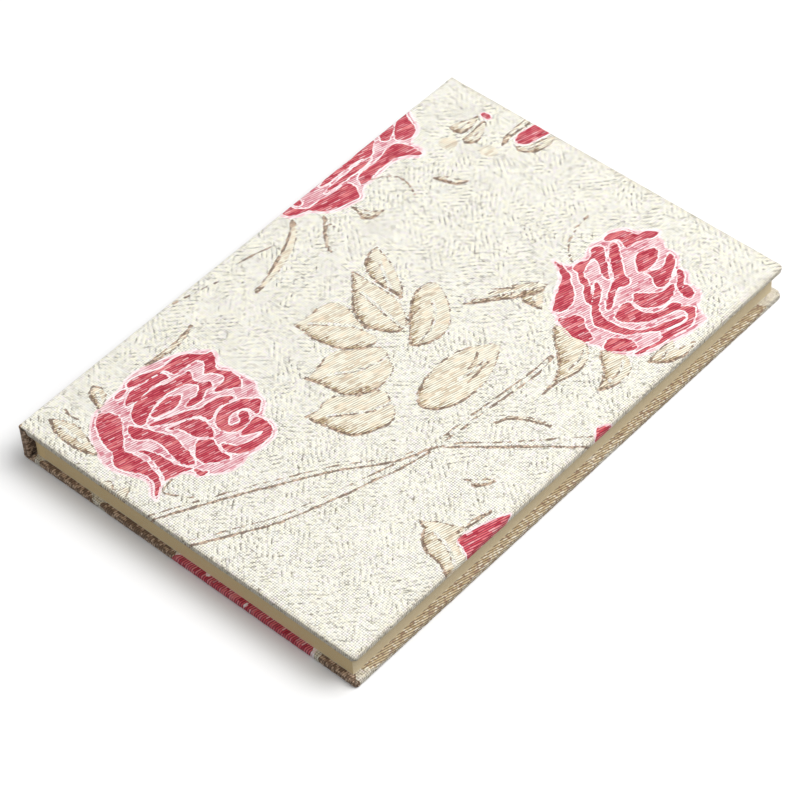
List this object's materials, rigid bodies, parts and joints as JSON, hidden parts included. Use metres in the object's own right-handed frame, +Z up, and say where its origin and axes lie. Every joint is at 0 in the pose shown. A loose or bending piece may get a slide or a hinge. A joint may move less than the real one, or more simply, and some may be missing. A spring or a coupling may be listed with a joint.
{
  "type": "hardcover journal",
  "caption": "Cloth-bound hardcover journal with flat boards, a hollow square spine and a sewn text block; it opens flat at the middle.",
  "frame": {"origin": "centre of the underside of the closed journal", "axes": "+X from the spine to the fore edge, +Y from the tail to the head, +Z up out of the front cover"},
  "size_m": [0.148, 0.214, 0.0156],
  "materials": {
    "cover_cloth": "woven brocade with rose and leaf figures",
    "greyboard": "bare greyboard",
    "endpaper": "plain uncoated",
    "leaves": "trimmed uncoated",
    "thread": "waxed linen",
    "gauze": "open weave"
  },
  "bodies": {
    "back_cover": {"back_board": "greyboard", "back_cover_cloth": "cover_cloth", "back_pastedown": "endpaper", "back_flyleaf": "endpaper", "back_gauze": "gauze", "section_06": "leaves", "sewing_thread_06": "thread", "section_07": "leaves", "sewing_thread_07": "thread", "section_08": "leaves", "sewing_thread_08": "thread", "section_09": "leaves", "sewing_thread_09": "thread", "section_10": "leaves", "sewing_thread_10": "thread"},
    "spine": {"spine_board": "greyboard", "spine_cloth": "cover_cloth"},
    "front_cover": {"front_board": "greyboard", "front_cover_cloth": "cover_cloth", "front_pastedown": "endpaper", "front_gauze": "gauze"},
    "first_section": {"section_01": "leaves", "sewing_thread_01": "thread", "front_flyleaf": "endpaper"},
    "second_section": {"section_02": "leaves", "sewing_thread_02": "thread"},
    "third_section": {"section_03": "leaves", "sewing_thread_03": "thread"},
    "fourth_section": {"section_04": "leaves", "sewing_thread_04": "thread"},
    "fifth_section": {"section_05": "leaves", "sewing_thread_05": "thread"}
  },
  "joints": [
    {"name": "front_cover_hinge", "type": "hinge", "parent": "spine", "child": "front_cover", "pos_m": [-0.074, 0, 0.0156], "axis": [0, -1, 0], "range_deg": [0, 88]},
    {"name": "spine_hinge", "type": "hinge", "parent": "back_cover", "child": "spine", "pos_m": [-0.074, 0, 0], "axis": [0, -1, 0], "range_deg": [0, 88]},
    {"name": "first_section_hinge", "type": "hinge", "parent": "spine", "child": "first_section", "pos_m": [-0.072, 0, 0.0136], "axis": [0, -1, 0], "range_deg": [0, 88]},
    {"name": "second_section_hinge", "type": "hinge", "parent": "spine", "child": "second_section", "pos_m": [-0.07, 0, 0.0116], "axis": [0, -1, 0], "range_deg": [0, 88]},
    {"name": "third_section_hinge", "type": "hinge", "parent": "spine", "child": "third_section", "pos_m": [-0.068, 0, 0.0096], "axis": [0, -1, 0], "range_deg": [0, 88]},
    {"name": "fourth_section_hinge", "type": "hinge", "parent": "spine", "child": "fourth_section", "pos_m": [-0.066, 0, 0.0076], "axis": [0, -1, 0], "range_deg": [0, 88]},
    {"name": "fifth_section_hinge", "type": "hinge", "parent": "back_cover", "child": "fifth_section", "pos_m": [-0.0696, 0, 0.0078], "axis": [0, -1, 0], "range_deg": [0, 176]}
  ],
  "couplings": [
    {"joint": "spine_hinge", "follows": "front_cover_hinge", "ratio": 1},
    {"joint": "first_section_hinge", "follows": "front_cover_hinge", "ratio": 1},
    {"joint": "second_section_hinge", "follows": "front_cover_hinge", "ratio": 1},
    {"joint": "third_section_hinge", "follows": "front_cover_hinge", "ratio": 1},
    {"joint": "fourth_section_hinge", "follows": "front_cover_hinge", "ratio": 1},
    {"joint": "fifth_section_hinge", "follows": "front_cover_hinge", "ratio": 2}
  ]
}
